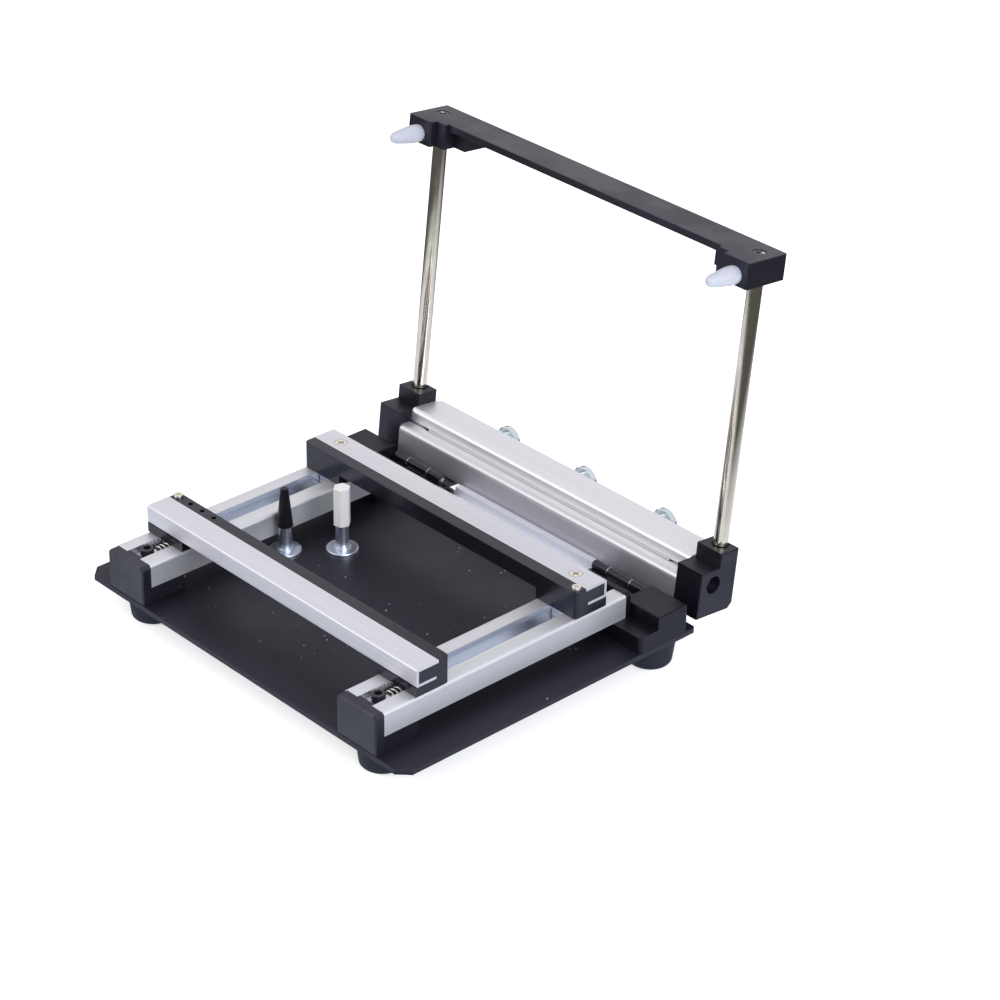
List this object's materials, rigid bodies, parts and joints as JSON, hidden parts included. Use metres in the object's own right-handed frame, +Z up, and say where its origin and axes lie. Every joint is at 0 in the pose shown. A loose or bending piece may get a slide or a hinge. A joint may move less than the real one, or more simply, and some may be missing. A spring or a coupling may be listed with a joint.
{
  "type": "manual stencil printer",
  "caption": "Hand-worked solder paste stencil printer: sprung clamp bars on rails over a base plate, loose magnetic board supports, and a hinged gate that grips the stencil.",
  "frame": {"origin": "centre of the whole printer's box, on the surface that its feet stand on", "axes": "+X to the right along the clamp bars, +Y back towards the gate's hinge, +Z up"},
  "size_m": [0.1, 0.1006, 0.086],
  "materials": {
    "plate_black": "satin black paint",
    "foot_rubber": "matt rubber",
    "moulded_black": "fine-grained moulded plastic",
    "crossbar_black": "smooth satin plastic",
    "clamp_black": "satin moulded plastic",
    "rail_aluminium": "anodised extrusion",
    "clamp_aluminium": "anodised, finely brushed along its length",
    "gate_aluminium": "anodised, brushed along its length",
    "hinge_aluminium": "anodised strip",
    "hinge_black": "glossy black steel",
    "pin_steel": "polished plated steel",
    "support_chrome": "polished plated steel",
    "magnet_nickel": "nickel-plated magnet",
    "zinc": "bright zinc plating",
    "stop_zinc": "bright zinc plating",
    "screw_black": "black oxide steel",
    "screw_nickel": "nickel plating",
    "spring_brass": "bright drawn wire",
    "bumper_white": "milky soft silicone",
    "tip_black": "satin black plastic",
    "tip_white": "natural nylon"
  },
  "bodies": {
    "base": {"base_plate": "plate_black", "foot_front_left": "foot_rubber", "foot_front_right": "foot_rubber", "foot_rear_left": "foot_rubber", "foot_rear_right": "foot_rubber", "foot_screws": "screw_nickel", "rail_left": "rail_aluminium", "rail_right": "rail_aluminium", "rail_screws": "screw_nickel", "front_block_left": "moulded_black", "front_block_right": "moulded_black", "rear_block_left": "moulded_black", "rear_block_right": "moulded_black", "hinge_rail": "hinge_aluminium", "hinge_rail_screws": "screw_black", "hinge_leaf_fixed_left": "hinge_black", "hinge_leaf_fixed_right": "hinge_black", "hinge_pin_left": "pin_steel", "hinge_pin_right": "pin_steel", "hinge_fixed_screws": "screw_black"},
    "rear_bar": {"rear_clamp_channel": "clamp_aluminium", "rear_clamp_body": "clamp_black", "rear_strip_screw": "screw_nickel", "rear_clamp_screws": "screw_nickel", "rear_clamp_nuts": "stop_zinc"},
    "front_stops": {"stop_left": "stop_zinc", "stop_right": "stop_zinc", "stop_screws": "screw_black", "spring_left": "spring_brass", "spring_right": "spring_brass"},
    "front_bar": {"front_clamp_channel": "clamp_aluminium", "front_clamp_body": "clamp_black", "front_strip_screw": "screw_nickel"},
    "gate": {"gate_block_left": "moulded_black", "gate_block_right": "moulded_black", "rod_left": "pin_steel", "rod_right": "pin_steel", "bumper_left": "bumper_white", "bumper_right": "bumper_white", "hinge_leaf_moving_left": "hinge_black", "hinge_leaf_moving_right": "hinge_black", "gate_front_profile": "gate_aluminium", "gate_rear_channel": "gate_aluminium", "crossbar": "crossbar_black", "crossbar_screws": "screw_black", "hinge_moving_screws": "screw_black", "side_screws": "screw_black"},
    "jaw": {"stencil_jaw": "gate_aluminium"},
    "thumb_left": {"thumb_screw_left": "zinc"},
    "thumb_middle": {"thumb_screw_middle": "zinc"},
    "thumb_right": {"thumb_screw_right": "zinc"},
    "cone_support": {"cone_support_post": "support_chrome", "cone_support_tip": "tip_black", "cone_support_magnet": "magnet_nickel"},
    "hex_support": {"hex_support_post": "support_chrome", "hex_support_tip": "tip_white", "hex_support_magnet": "magnet_nickel"}
  },
  "joints": [
    {"name": "gate_hinge", "type": "hinge", "parent": "base", "child": "gate", "pos_m": [0, 0.02615, 0.01175], "axis": [1, 0, 0], "range_deg": [0, 97]},
    {"name": "jaw_slide", "type": "slide", "parent": "gate", "child": "jaw", "axis": [0, -0.9951, 0.0993], "range_m": [0, 0.0005]},
    {"name": "thumb_left_turn", "type": "hinge", "parent": "jaw", "child": "thumb_left", "pos_m": [-0.0242, 0.04542, 0.01415], "axis": [0, -0.9951, 0.0993], "range_deg": [0, 515.29]},
    {"name": "thumb_middle_turn", "type": "hinge", "parent": "jaw", "child": "thumb_middle", "pos_m": [0, 0.04542, 0.01415], "axis": [0, -0.9951, 0.0993], "range_deg": [0, 515.29]},
    {"name": "thumb_right_turn", "type": "hinge", "parent": "jaw", "child": "thumb_right", "pos_m": [0.0242, 0.04542, 0.01415], "axis": [0, -0.9951, 0.0993], "range_deg": [0, 515.29]},
    {"name": "front_stops_slide", "type": "slide", "parent": "base", "child": "front_stops", "axis": [0, 1, 0], "range_m": [-0.0002, 0.015]},
    {"name": "front_bar_slide", "type": "slide", "parent": "front_stops", "child": "front_bar", "axis": [0, 1, 0], "range_m": [-0.0026, 0], "stiffness_N_per_m": 400, "deforming": ["spring_left", "spring_right"]},
    {"name": "rear_bar_slide", "type": "slide", "parent": "base", "child": "rear_bar", "axis": [0, 1, 0], "range_m": [-0.005, 0.0055]},
    {"name": "cone_support_slide", "type": "slide", "parent": "base", "child": "cone_support", "axis": [1, 0, 0], "range_m": [0, 0.05]},
    {"name": "hex_support_slide", "type": "slide", "parent": "base", "child": "hex_support", "axis": [1, 0, 0], "range_m": [0, 0.04]}
  ],
  "couplings": [
    {"joint": "thumb_left_turn", "follows": "jaw_slide", "rad_per_m": 17952},
    {"joint": "thumb_middle_turn", "follows": "jaw_slide", "rad_per_m": 17952},
    {"joint": "thumb_right_turn", "follows": "jaw_slide", "rad_per_m": 17952}
  ]
}
